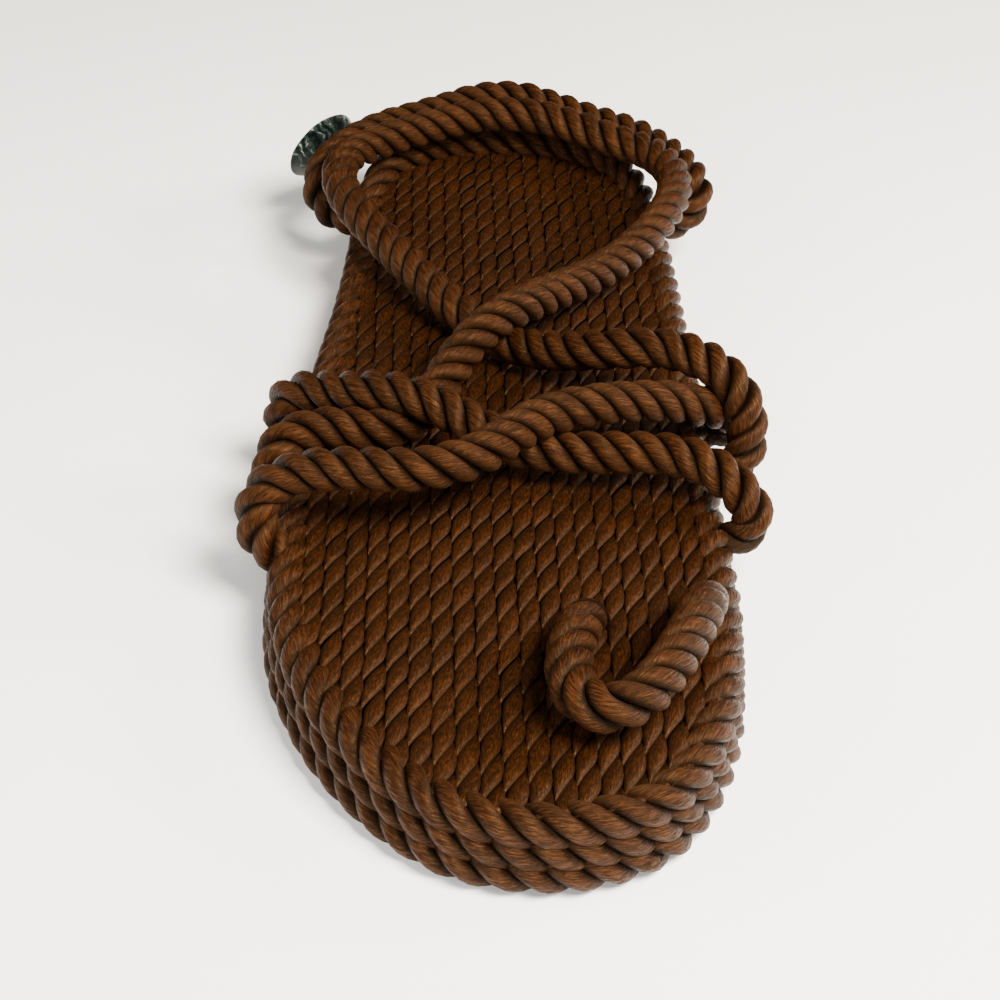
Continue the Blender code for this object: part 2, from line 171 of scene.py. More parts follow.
def ropeMaterial(name, look):
    material = bpy.data.materials.new(name)
    material.use_nodes = True
    tree = material.node_tree
    shader = tree.nodes["Principled BSDF"]
    # attributes of the meshes: metres along the rope, mm in the strand's cross-section, one value for
    # each strand or lobe, 0 deep between strands and 1 on their crowns, and which way the fibres run
    along, section, tone, groove, fibre = [
        addNode(tree, "ShaderNodeAttribute", attribute_name=label).outputs
        for label in ("along", "section", "tone", "groove", "fibre")]

    # yarns: a noise that is drawn out along the strand and turns with it
    millimetres = addNode(tree, "ShaderNodeMath", {0: along["Fac"], 1: 1000.0}, operation="MULTIPLY")
    angle = addNode(tree, "ShaderNodeMath", {0: millimetres.outputs[0], 1: look["yarnTwist"]},
                    operation="MULTIPLY")
    twisted = addNode(tree, "ShaderNodeVectorRotate",
                      {"Vector": section["Vector"], "Angle": angle.outputs[0]},
                      rotation_type="Z_AXIS")
    across = addNode(tree, "ShaderNodeVectorMath",
                     {0: twisted.outputs[0], "Scale": 1 / look["yarnWidth"]}, operation="SCALE")
    lengthwise = addNode(tree, "ShaderNodeMath", {0: millimetres.outputs[0], 1: look["yarnLength"]},
                         operation="DIVIDE")
    # each strand reads its own part of the noise, up to 90 yarn lengths from the next one's
    apart = addNode(tree, "ShaderNodeMath", {0: tone["Fac"], 1: 90.0, 2: lengthwise.outputs[0]},
                    operation="MULTIPLY_ADD")
    split = addNode(tree, "ShaderNodeSeparateXYZ", {0: across.outputs[0]})
    grain = addNode(tree, "ShaderNodeCombineXYZ",
                    {0: split.outputs[0], 1: split.outputs[1], 2: apart.outputs[0]})
    yarns = addNode(tree, "ShaderNodeTexNoise",
                    {"Vector": grain.outputs[0], "Scale": 1.0, "Detail": 3.0, "Roughness": 0.7})

    # colour
    coordinates = addNode(tree, "ShaderNodeTexCoord")
    patches = addNode(tree, "ShaderNodeTexNoise", {"Vector": coordinates.outputs["Object"],
                      "Scale": 1000 / look["patchSize"], "Detail": 2.0})
    blend = addNode(tree, "ShaderNodeMix", {"Factor": look["patchShare"], "A": yarns.outputs["Fac"],
                    "B": patches.outputs["Fac"]})
    lifted = addNode(tree, "ShaderNodeMath",
                     {0: tone["Fac"], 1: look["toneSpread"], 2: blend.outputs[0]},
                     operation="MULTIPLY_ADD")
    ramp = addNode(tree, "ShaderNodeValToRGB", {"Fac": lifted.outputs[0]})
    first, last = ramp.color_ramp.elements
    first.position, last.position = noiseRange
    first.color = hexToLinear(look["dark"])
    last.color = hexToLinear(look["light"])
    ramp.color_ramp.elements.new(0.5).color = hexToLinear(look["middle"])
    # painted shade: the base colour is darkened towards the bottom of each groove
    shade = addNode(tree, "ShaderNodeMapRange",
                    {"Value": groove["Fac"], "To Min": look["paintedGrooveShade"], "To Max": 1.0})
    paintedShadeColour = addNode(tree, "ShaderNodeVectorMath", {0: ramp.outputs[0], "Scale": shade.outputs[0]},
                   operation="SCALE")
    tree.links.new(paintedShadeColour.outputs[0], shader.inputs["Base Color"])

    # relief and gloss
    bump = addNode(tree, "ShaderNodeBump", {"Height": yarns.outputs["Fac"], "Strength": 0.8,
                                            "Distance": look["relief"] * mm})
    polish = addNode(tree, "ShaderNodeMapRange",
                     {"Value": yarns.outputs["Fac"], "From Min": noiseRange[0],
                      "From Max": noiseRange[1], "To Min": look["roughest"],
                      "To Max": look["smoothest"]})
    tree.links.new(bump.outputs[0], shader.inputs["Normal"])
    tree.links.new(polish.outputs[0], shader.inputs["Roughness"])
    tree.links.new(fibre["Vector"], shader.inputs["Tangent"])
    shader.inputs["Anisotropic"].default_value = look["silkiness"]
    shader.inputs["Anisotropic Rotation"].default_value = 0.25  # a quarter turn, across the fibres
    shader.inputs["IOR"].default_value = 1.49  # polypropylene
    shader.inputs["Specular IOR Level"].default_value = look["gloss"]
    shader.inputs["Specular Tint"].default_value = hexToLinear(look["glossTint"])
    shader.inputs["Sheen Weight"].default_value = look["fuzz"]
    shader.inputs["Sheen Roughness"].default_value = 0.4
    shader.inputs["Sheen Tint"].default_value = hexToLinear(look["fuzzTint"])
    return material


ropeFinish = ropeMaterial("brown_polypropylene_rope_satin", ropeLook)
borderFinish = ropeMaterial("brown_polypropylene_rope_border", borderLook)
matFinish = ropeMaterial("brown_polypropylene_rope_trodden", matLook)

# routes, in mm from the sole's centre: across, along, height

soleEdge = [
    (3, -123), (-18, -118.4), (-37, -99.8), (-49, -73), (-51.2, -41), (-48, 0), (-41.9, 45), (-39, 78),
    (-38, 96.6), (-32.2, 112), (-14, 125), (12, 126.6), (32.4, 116.4), (40.6, 101), (42.4, 84),
    (43, 58), (43.1, 12), (42.6, -30), (42.4, -65), (37, -95.5), (24, -115.8),
]
strapRoutes = {
    "front": [
        (-33, -47.5, 12), (-39.4, -47.5, 12.1), (-45.2, -47.1, 12.9), (-50, -46.2, 15.8),
        (-52.6, -44, 20.4), (-50.9, -41.4, 25.8), (-44.8, -40.2, 29.2), (-37, -40.6, 30.8),
        (-28, -41.8, 31.6), (-19, -41.8, 32.2), (-10, -38, 32.4), (-2.5, -30.4, 32.5), (5, -23.4, 32.1),
        (14, -19, 31.5), (23, -15.8, 30.4), (31.6, -12.8, 28.4), (38, -10.6, 25.9), (42.8, -7.8, 23.2),
        (46.1, -5.4, 20.4), (47.2, -3.6, 17.2), (45.6, -2.2, 14.4), (41.8, -1.4, 12.8),
        (36.6, -1, 12.1), (30.6, -1, 12),
    ],
    "cross": [
        (-31, -6, 12), (-37.6, -6, 12.1), (-43.4, -5.8, 12.7), (-47.4, -5.2, 14.8), (-49.4, -4.6, 18),
        (-48.9, -4.2, 21.2), (-46.2, -4.4, 23.7), (-41.8, -5.8, 25.2), (-36, -8.4, 26.8),
        (-29.5, -11, 28.9), (-22.4, -13.8, 29.8), (-15.6, -17, 29), (-9, -20.6, 27), (-2, -24, 25.2),
        (6, -25.4, 24.6), (14, -26, 24.7), (22, -26.6, 25.3), (30, -28, 25.9), (36.4, -30.6, 25.7),
        (41.2, -33.6, 24), (44.6, -36, 21.2), (46.2, -37.9, 18), (45.2, -38.9, 15), (41.6, -39.3, 13),
        (36.6, -39.4, 12.1), (31, -39.4, 12),
    ],
    "rising": [
        (-32, -28, 12), (-38.6, -28, 12.1), (-44.6, -27.8, 12.8), (-48.8, -26.6, 15.4),
        (-50.6, -24, 19.4), (-48.2, -20.8, 22.8), (-42.6, -18.4, 24.2), (-36, -17.4, 24),
        (-28.6, -16.8, 23.4), (-22.4, -12.4, 22.5), (-18.4, -4.6, 22.4), (-14.6, 2.8, 24.4),
        (-10.2, 9.8, 27.3), (-4.8, 16, 29.2), (1.2, 22.2, 29.2), (7.2, 29, 28), (13.2, 35.4, 26.7),
        (19.6, 42.4, 25.7), (26.4, 50.6, 25.4), (32.6, 59, 26), (37.6, 67.4, 27), (40.8, 75.2, 27.8),
        (42.2, 82.6, 28), (41.8, 89.4, 28), (39.6, 95.4, 28), (36, 100.2, 28), (31.6, 103.8, 27.8),
        (27, 106.8, 28), (22.4, 109.8, 28.3), (16, 113, 28.8), (9.4, 115.2, 29.4), (1.8, 115.8, 29.6),
        (-5.6, 115.2, 29.4), (-12.6, 113, 28.8), (-19.4, 109.8, 28.3), (-24.6, 106.8, 28),
        (-29.2, 103.8, 27.8), (-33.6, 100.2, 27.6), (-37.6, 95.4, 28), (-39.8, 89.8, 28),
        (-40.4, 83.2, 28.1), (-39.2, 76, 27.8), (-36.2, 68.6, 27), (-31.2, 60.4, 25.8),
        (-25, 50.8, 24.4), (-18.6, 40.8, 23.2), (-12.6, 32.2, 22.4), (-6.8, 25.4, 22), (-1.4, 19.2, 22),
        (4.6, 14.4, 23.2), (10.8, 9.8, 25.8), (17, 6, 28.6), (24, 3.4, 31), (31, 1.2, 32.5),
        (37.2, -2.6, 33), (42.4, -7, 32), (46.2, -10.6, 28.4), (47.9, -13.6, 22.4), (47.1, -16.6, 17.2),
        (43.4, -18.2, 13.6), (37.8, -18.5, 12.2), (31.4, -18.5, 12),
    ],
    "heel": [
        (-22, 89, 12.2), (-28.5, 89, 12.2), (-35, 89, 12.4), (-41.2, 89.3, 14), (-45, 90.3, 17.6),
        (-45.7, 92.4, 21.2), (-44.4, 96.4, 23.4), (-41.8, 101.6, 24.4), (-38.4, 106.5, 24.9),
        (-34.4, 110.9, 25.4), (-30.1, 114.4, 25.8), (-24.9, 117.4, 26.1), (-18.6, 120.4, 26.7),
        (-11.8, 123, 27.8), (-5.4, 124.8, 29.1), (1.8, 125.4, 29.7), (9, 124.8, 29.1),
        (15.4, 123, 27.8), (22.2, 120.4, 26.7), (28.5, 117.4, 26.1), (33.7, 114.4, 25.8),
        (38, 110.9, 25.4), (42, 106.5, 24.9), (45.4, 101.6, 24.4), (48, 96.4, 23.4), (49.3, 92.4, 21.2),
        (48.6, 90.3, 17.6), (44.8, 89.3, 14), (38.6, 89, 12.4), (32.1, 89, 12.2), (25.6, 89, 12.2),
    ],
}
toeLoopRoute = [
    (35, -61.5, 8.6), (35, -61.8, 13.4), (34.2, -64.6, 18.6), (32, -70.8, 22.6),
    (29, -78.4, 24.4), (25.6, -85.8, 25), (21.8, -92.6, 25.4), (17.2, -98.4, 25.4),
    (11.8, -100.8, 25), (7.6, -98.2, 24.6), (5.8, -92.6, 24.2), (6, -86, 23.8), (7.6, -79.2, 23),
    (9.8, -73.2, 21), (11.6, -69.2, 17.4), (12.2, -67.6, 13.2), (12.2, -67.4, 8.6),
]
heelRim = {
    # round the heel the border ropes rise to a rim above the footbed
    "start": 88.0,  # mm along the sole
    "full": 118.0,
    "matInset": 1.8,  # mm that the mats draw back there
}


def curveBetween(four, at, knots):
    # a point of the smooth curve through four points, between the second and the third
    level = list(four)
    for depth in (1, 2, 3):
        nearer = []
        for i in range(len(level) - 1):
            first = knots[i + 1] if depth == 3 else knots[i]
            last = knots[i + 2] if depth == 3 else knots[i + depth]
            nearer.append(level[i].lerp(level[i + 1], (at - first) / (last - first)))
        level = nearer
    return level[0]


def smoothLine(route, closed=False, samples=12):
    # a centripetal Catmull-Rom curve: it passes through every point and never loops between two
    rows = [Vector(row) for row in route]
    if closed:
        rows = rows[-1:] + rows + rows[:2]
    else:
        rows = [2 * rows[0] - rows[1]] + rows + [2 * rows[-1] - rows[-2]]
    line = []
    for i in range(len(rows) - 3):
        four = rows[i:i + 4]
        knots = [0.0]
        for before, after in zip(four, four[1:]):
            knots.append(knots[-1] + math.sqrt((after - before).length))
        for k in range(samples):
            line.append(curveBetween(four, knots[1] + (knots[2] - knots[1]) * k / samples, knots))
    line.append(rows[1].copy() if closed else rows[-2].copy())
    return line


def lineLength(line):
    return sum((after - before).length for before, after in zip(line, line[1:]))


def spaced(line, count):
    # the points that divide a line into equal lengths, ends included
    travelled = [0.0]
    for before, after in zip(line, line[1:]):
        travelled.append(travelled[-1] + (after - before).length)
    points = []
    place = 0
    for k in range(count + 1):
        wanted = travelled[-1] * k / count
        while place < len(line) - 2 and travelled[place + 1] < wanted:
            place += 1
        span = travelled[place + 1] - travelled[place]
        points.append(line[place].lerp(line[place + 1], (wanted - travelled[place]) / span))
    return points


def evenLine(route):
    # one point for each millimetre or so
    line = smoothLine(route)
    return spaced(line, round(lineLength(line)))


def rimShare(along):
    # 0 in front of the rim, 1 where it has its full height
    share = (along - heelRim["start"]) / (heelRim["full"] - heelRim["start"])
    share = min(max(share, 0.0), 1.0)
    return share * share * (3.0 - 2.0 * share)


def edgeLine(inset, height=0.0, rimInset=0.0, rimHeight=0.0, count=400):
    # the sole's outline, moved inwards and up, and further at the heel's rim
    edge = spaced(smoothLine([(x, y, 0.0) for x, y in soleEdge], closed=True), count)[:-1]
    moved = []
    for i, point in enumerate(edge):
        ahead = edge[(i + 1) % count] - edge[i - 1]
        inward = Vector((ahead.y, -ahead.x, 0.0)).normalized()
        rim = rimShare(point.y)
        lift = Vector((0.0, 0.0, height + rimHeight * rim))
        moved.append(point + inward * (inset + rimInset * rim) + lift)
    return moved


# node trees

def newTree(name, sockets):
    # sockets: name, kind and default value of each input
    tree = bpy.data.node_groups.new(name, "GeometryNodeTree")
    tree.interface.new_socket("Geometry", in_out="INPUT", socket_type="NodeSocketGeometry")
    for label, kind, value in sockets:
        socket = tree.interface.new_socket(label, in_out="INPUT", socket_type="NodeSocket" + kind)
        if value is not None:
            socket.default_value = value
    tree.interface.new_socket("Geometry", in_out="OUTPUT", socket_type="NodeSocketGeometry")
    return tree, addNode(tree, "NodeGroupInput").outputs


def endTree(tree, geometry, material):
    smooth = addNode(tree, "GeometryNodeSetShadeSmooth", {"Geometry": geometry})
    real = addNode(tree, "GeometryNodeRealizeInstances", {"Geometry": smooth.outputs[0]})
    painted = addNode(tree, "GeometryNodeSetMaterial",
                      {"Geometry": real.outputs[0], "Material": material})
    addNode(tree, "NodeGroupOutput", {"Geometry": painted.outputs[0]})


def runTree(name, base, tree, values):
    # evaluates the tree on a base mesh and keeps the result as a plain mesh object
    obj = addObject(name, base)
    modifier = obj.modifiers.new("shape", "NODES")
    modifier.node_group = tree
    sockets = {item.name: item.identifier for item in tree.interface.items_tree
               if item.in_out == "INPUT"}
    for label, value in values.items():
        modifier[sockets[label]] = value
    bpy.context.view_layer.update()
    graph = bpy.context.evaluated_depsgraph_get()
    mesh = bpy.data.meshes.new_from_object(
        obj.evaluated_get(graph), preserve_all_data_layers=True, depsgraph=graph)
    obj.modifiers.remove(modifier)
    obj.data = mesh
    mesh.materials.clear()
    mesh.materials.append(values["Material"])
    mesh.polygons.foreach_set("material_index", [0] * len(mesh.polygons))
    mesh.name = name
    return obj


def makeRopeTree():
    # strands that turn in a helix round each polyline
    tree, given = newTree("twistedRope", [
        ("Rope Radius", "Float", 0.004), ("Strand Radius", "Float", 0.0019),
        ("Section Spacing", "Float", 0.001), ("Strands", "Int", 3), ("Sides", "Int", 14),
        ("Unevenness", "Float", 0.0001), ("Material", "Material", None)])
    line = addNode(tree, "GeometryNodeMeshToCurve", {"Mesh": given["Geometry"]})
    squeeze = addNode(tree, "GeometryNodeInputNamedAttribute", {"Name": "squeeze"},
                      data_type="FLOAT")
    sized = addNode(tree, "GeometryNodeSetCurveRadius",
                    {"Curve": line.outputs[0], "Radius": squeeze.outputs[0]})
    sections = addNode(tree, "GeometryNodeResampleCurve",
                       {"Curve": sized.outputs[0], "Length": given["Section Spacing"]},
                       mode="LENGTH")
    copies = addNode(tree, "GeometryNodeDuplicateElements",
                     {"Geometry": sections.outputs[0], "Amount": given["Strands"]},
                     domain="SPLINE")

    # a strand's angle: the turns so far, and its own share of one turn
    travelled = addNode(tree, "GeometryNodeSplineParameter")
    turnRate = addNode(tree, "GeometryNodeInputNamedAttribute", {"Name": "turnsPerMetre"},
                       data_type="FLOAT")
    turns = addNode(tree, "ShaderNodeMath",
                    {0: travelled.outputs["Length"], 1: turnRate.outputs[0]},
                    operation="MULTIPLY")
    share = addNode(tree, "ShaderNodeMath",
                    {0: copies.outputs["Duplicate Index"], 1: given["Strands"]},
                    operation="DIVIDE")
    both = addNode(tree, "ShaderNodeMath", {0: turns.outputs[0], 1: share.outputs[0]},
                   operation="ADD")
    angle = addNode(tree, "ShaderNodeMath", {0: both.outputs[0], 1: math.tau},
                    operation="MULTIPLY")
    cosine = addNode(tree, "ShaderNodeMath", {0: angle.outputs[0]}, operation="COSINE")
    sine = addNode(tree, "ShaderNodeMath", {0: angle.outputs[0]}, operation="SINE")

    # the step from the rope's middle to the strand's
    normal = addNode(tree, "GeometryNodeInputNormal")
    tangent = addNode(tree, "GeometryNodeInputTangent")
    binormal = addNode(tree, "ShaderNodeVectorMath",
                       {0: tangent.outputs[0], 1: normal.outputs[0]}, operation="CROSS_PRODUCT")
    alongNormal = addNode(tree, "ShaderNodeVectorMath",
                          {0: normal.outputs[0], "Scale": cosine.outputs[0]},
                          operation="SCALE")
    alongBinormal = addNode(tree, "ShaderNodeVectorMath",
                            {0: binormal.outputs[0], "Scale": sine.outputs[0]},
                            operation="SCALE")
    outward = addNode(tree, "ShaderNodeVectorMath",
                      {0: alongNormal.outputs[0], 1: alongBinormal.outputs[0]},
                      operation="ADD")
    reach = addNode(tree, "ShaderNodeMath", {0: given["Rope Radius"], 1: given["Strand Radius"]},
                    operation="SUBTRACT")
    radius = addNode(tree, "GeometryNodeInputRadius")
    squeezed = addNode(tree, "ShaderNodeMath", {0: reach.outputs[0], 1: radius.outputs[0]},
                       operation="MULTIPLY")
    offset = addNode(tree, "ShaderNodeVectorMath",
                     {0: outward.outputs[0], "Scale": squeezed.outputs[0]}, operation="SCALE")

    # what the material reads is kept on the straight strands, before they are twisted
    strandTone = addNode(tree, "FunctionNodeRandomValue",
                         {2: -0.5, 3: 0.5, "ID": copies.outputs["Duplicate Index"], "Seed": 4},
                         data_type="FLOAT")
    spine = addNode(tree, "GeometryNodeInputPosition")
    kept = copies.outputs[0]
    for name, kind, value in (
            ("along", "FLOAT", travelled.outputs["Length"]),
            ("tone", "FLOAT", strandTone.outputs[1]),
            ("fibre", "FLOAT_VECTOR", tangent.outputs[0]),
            ("spine", "FLOAT_VECTOR", spine.outputs[0])):
        kept = addNode(tree, "GeometryNodeStoreNamedAttribute",
                       {"Geometry": kept, "Name": name, "Value": value},
                       data_type=kind, domain="POINT").outputs[0]
    twisted = addNode(tree, "GeometryNodeSetPosition",
                      {"Geometry": kept, "Offset": offset.outputs[0]})

    # hand-laid rope is never quite even
    wander = addNode(tree, "ShaderNodeTexNoise", {"Scale": 140.0, "Detail": 1.0})  # waves of 7 mm
    evened = addNode(tree, "ShaderNodeVectorMath",
                     {0: wander.outputs["Color"], 1: (0.5, 0.5, 0.5)}, operation="SUBTRACT")
    drift = addNode(tree, "ShaderNodeVectorMath",
                    {0: evened.outputs[0], "Scale": given["Unevenness"]}, operation="SCALE")
    uneven = addNode(tree, "GeometryNodeSetPosition",
                     {"Geometry": twisted.outputs[0], "Offset": drift.outputs[0]})

    # the strand's round section, which keeps its own place in mm for the yarns
    circle = addNode(tree, "GeometryNodeCurvePrimitiveCircle",
                     {"Resolution": given["Sides"], "Radius": given["Strand Radius"]},
                     mode="RADIUS")
    spot = addNode(tree, "GeometryNodeInputPosition")
    measured = addNode(tree, "ShaderNodeVectorMath", {0: spot.outputs[0], "Scale": 1000.0},
                       operation="SCALE")
    profile = addNode(tree, "GeometryNodeStoreNamedAttribute",
                      {"Geometry": circle.outputs[0], "Name": "section",
                       "Value": measured.outputs[0]},
                      data_type="FLOAT_VECTOR", domain="POINT")
    tube = addNode(tree, "GeometryNodeCurveToMesh",
                   {"Curve": uneven.outputs[0], "Profile Curve": profile.outputs[0],
                    "Fill Caps": True})

    # how far a point stands out from the rope's spine tells how deep it lies in a groove, where the
    # material paints shade: at 0.76 of the rope's radius it is at the bottom, at 0.98 on the crest
    skin = addNode(tree, "GeometryNodeInputPosition")
    core = addNode(tree, "GeometryNodeInputNamedAttribute", {"Name": "spine"},
                   data_type="FLOAT_VECTOR")
    apart = addNode(tree, "ShaderNodeVectorMath", {0: skin.outputs[0], 1: core.outputs[0]},
                    operation="DISTANCE")
    level = addNode(tree, "ShaderNodeMath", {0: apart.outputs["Value"], 1: given["Rope Radius"]},
                    operation="DIVIDE")
    standing = addNode(tree, "ShaderNodeMapRange",
                       {"Value": level.outputs[0], "From Min": 0.76, "From Max": 0.98},
                       interpolation_type="SMOOTHSTEP")
    grooved = addNode(tree, "GeometryNodeStoreNamedAttribute",
                      {"Geometry": tube.outputs[0], "Name": "groove",
                       "Value": standing.outputs[0]},
                      data_type="FLOAT", domain="POINT")
    endTree(tree, grooved.outputs[0], given["Material"])
    return tree


def makeLobeTree():
    # one visible lobe of a laid cord, repeated over a mat
    tree, given = newTree("laidMat", [
        ("Column Width", "Float", 0.0043), ("Lobe Spacing", "Float", 0.0072),
        ("Climb", "Float", 0.0108), ("Depth", "Float", 0.0011), ("Groove", "Float", 0.0006),
        ("Overlap", "Float", 0.0005), ("Steps Across", "Int", 6), ("Steps Along", "Int", 10),
        ("Seed", "Int", 3), ("Material", "Material", None)])
    grid = addNode(tree, "GeometryNodeMeshGrid",
                   {"Size X": 2.0, "Size Y": 2.0, "Vertices X": given["Steps Across"],
                    "Vertices Y": given["Steps Along"]})
    rim = addNode(tree, "GeometryNodeInputMeshEdgeNeighbors")
    onRim = addNode(tree, "FunctionNodeCompare", {2: rim.outputs[0], 3: 1},
                    data_type="INT", operation="EQUAL")

    # across, the column shows 120 degrees of its roundness
    # along, the lobe turns from one crease to the next
    spot = addNode(tree, "GeometryNodeInputPosition")
    turned = addNode(tree, "ShaderNodeVectorMath",
                     {0: spot.outputs[0], 1: (math.pi / 3, math.pi / 2, 0.0)},
                     operation="MULTIPLY")
    angles = addNode(tree, "ShaderNodeSeparateXYZ", {0: turned.outputs[0]})
    sineAcross, cosineAcross, sineAlong, cosineAlong = [
        addNode(tree, "ShaderNodeMath", {0: angle}, operation=operation).outputs[0]
        for angle in angles.outputs[:2] for operation in ("SINE", "COSINE")]

    # half of each size and a little more, so that neighbours meet
    halfWidth = addNode(tree, "ShaderNodeMath",
                        {0: given["Column Width"], 1: 0.51 / math.sin(math.pi / 3)},
                        operation="MULTIPLY")
    halfSpacing = addNode(tree, "ShaderNodeMath", {0: given["Lobe Spacing"], 1: 0.56},
                          operation="MULTIPLY")
    x = addNode(tree, "ShaderNodeMath", {0: sineAcross, 1: halfWidth.outputs[0]},
                operation="MULTIPLY")
    rate = addNode(tree, "ShaderNodeMath", {0: given["Climb"], 1: math.pi}, operation="DIVIDE")
    crease = addNode(tree, "ShaderNodeMath", {0: angles.outputs[0], 1: rate.outputs[0]},
                     operation="MULTIPLY")
    y = addNode(tree, "ShaderNodeMath",
                {0: sineAlong, 1: halfSpacing.outputs[0], 2: crease.outputs[0]},
                operation="MULTIPLY_ADD")
    fallAcross = addNode(tree, "ShaderNodeMath", {0: cosineAcross, 1: 1.0}, operation="SUBTRACT")
    fallAlong = addNode(tree, "ShaderNodeMath", {0: cosineAlong, 1: 1.0}, operation="SUBTRACT")
    inGroove = addNode(tree, "ShaderNodeMath", {0: fallAcross.outputs[0], 1: given["Groove"]},
                       operation="MULTIPLY")
    inCrease = addNode(tree, "ShaderNodeMath",
                       {0: fallAlong.outputs[0], 1: given["Depth"], 2: inGroove.outputs[0]},
                       operation="MULTIPLY_ADD")
    # each lobe's near edge lies over the next one
    shingle = addNode(tree, "ShaderNodeMath", {0: sineAlong, 1: given["Overlap"]},
                      operation="MULTIPLY")
    z = addNode(tree, "ShaderNodeMath", {0: inCrease.outputs[0], 1: shingle.outputs[0]},
                operation="SUBTRACT")
    shape = addNode(tree, "ShaderNodeCombineXYZ",
                    {0: x.outputs[0], 1: y.outputs[0], 2: z.outputs[0]})
    domed = addNode(tree, "GeometryNodeSetPosition",
                    {"Geometry": grid.outputs[0], "Position": shape.outputs[0]})

    # the underside narrows to one point, three depths down, which closes the lobe
    skirt = addNode(tree, "GeometryNodeExtrudeMesh",
                    {"Mesh": domed.outputs[0], "Selection": onRim.outputs[0],
                     "Offset Scale": 0.0}, mode="EDGES")
    root = addNode(tree, "ShaderNodeMath", {0: given["Depth"], 1: -3.0}, operation="MULTIPLY")
    rootPlace = addNode(tree, "ShaderNodeCombineXYZ", {2: root.outputs[0]})
    gathered = addNode(tree, "GeometryNodeSetPosition",
                       {"Geometry": skirt.outputs["Mesh"], "Selection": skirt.outputs["Top"],
                        "Position": rootPlace.outputs[0]})
    closed = addNode(tree, "GeometryNodeMergeByDistance",
                     {"Geometry": gathered.outputs[0], "Distance": 0.000001})

    # what the material reads: the yarns lean 0.2 radians from the column
    made = addNode(tree, "GeometryNodeInputPosition")
    millimetres = addNode(tree, "ShaderNodeVectorMath", {0: made.outputs[0], "Scale": 1000.0},
                          operation="SCALE")
    leaning = addNode(tree, "ShaderNodeVectorRotate",
                      {"Vector": millimetres.outputs[0], "Angle": 0.2}, rotation_type="Z_AXIS")
    leaningParts = addNode(tree, "ShaderNodeSeparateXYZ", {0: leaning.outputs[0]})
    acrossOnly = addNode(tree, "ShaderNodeCombineXYZ",
                         {0: leaningParts.outputs[0], 1: leaningParts.outputs[2]})
    lengthOnly = addNode(tree, "ShaderNodeMath", {0: leaningParts.outputs[1], 1: 0.001},
                         operation="MULTIPLY")
    # a lobe's lower parts get a low groove value, where the material paints shade
    madeParts = addNode(tree, "ShaderNodeSeparateXYZ", {0: made.outputs[0]})
    sinking = addNode(tree, "ShaderNodeMath", {0: given["Depth"], 1: -1.0},
                      operation="MULTIPLY")
    standing = addNode(tree, "ShaderNodeMapRange",
                       {"Value": madeParts.outputs[2], "From Min": sinking.outputs[0],
                        "From Max": 0.0})
    lobe = closed.outputs[0]
    for name, kind, value in (
            ("section", "FLOAT_VECTOR", acrossOnly.outputs[0]),
            ("along", "FLOAT", lengthOnly.outputs[0]),
            ("fibre", "FLOAT_VECTOR", (0.1, 1.0, 0.0)),
            ("groove", "FLOAT", standing.outputs[0])):
        lobe = addNode(tree, "GeometryNodeStoreNamedAttribute",
                       {"Geometry": lobe, "Name": name, "Value": value},
                       data_type=kind, domain="POINT").outputs[0]

    # every copy differs a little in tilt (radians), size and tone; a mat may be turned over
    tilt = addNode(tree, "FunctionNodeRandomValue",
                   {0: (-0.02, -0.02, -0.04), 1: (0.02, 0.02, 0.04), "Seed": given["Seed"]},
                   data_type="FLOAT_VECTOR")
    size = addNode(tree, "FunctionNodeRandomValue",
                   {0: (0.97, 0.96, 0.85), 1: (1.05, 1.06, 1.0), "Seed": given["Seed"]},
                   data_type="FLOAT_VECTOR")
    lobeTone = addNode(tree, "FunctionNodeRandomValue", {2: -0.5, 3: 0.5, "Seed": given["Seed"]},
                       data_type="FLOAT")
    flip = addNode(tree, "GeometryNodeInputNamedAttribute", {"Name": "turned"},
                   data_type="FLOAT")
    facing = addNode(tree, "ShaderNodeCombineXYZ", {1: flip.outputs[0]})
    placed = addNode(tree, "ShaderNodeVectorMath", {0: facing.outputs[0], 1: tilt.outputs[0]},
                     operation="ADD")
    places = addNode(tree, "GeometryNodeMeshToPoints", {"Mesh": given["Geometry"]})
    repeated = addNode(tree, "GeometryNodeInstanceOnPoints",
                       {"Points": places.outputs[0], "Instance": lobe,
                        "Rotation": placed.outputs[0], "Scale": size.outputs[0]})
    toned = addNode(tree, "GeometryNodeStoreNamedAttribute",
                    {"Geometry": repeated.outputs[0], "Name": "tone",
                     "Value": lobeTone.outputs[1]},
                    data_type="FLOAT", domain="INSTANCE")
    endTree(tree, toned.outputs[0], given["Material"])
    return tree


ropeTree = makeRopeTree()
lobeTree = makeLobeTree()

# ropes

rope = {
    "radius": 4.5,  # mm
    "strandRadius": 1.92,
    "lay": 16.0,  # mm for one full turn
    "spacing": 0.95,  # mm from one section to the next
    "sides": 14,
    "squeezed": 0.65,  # share of the radius inside the sole
    "squeezeLength": 10.0,  # mm from each end
    "squeezeFade": 9.0,  # mm over which the rope grows back to its full size
    "unevenness": 0.35,  # mm
}


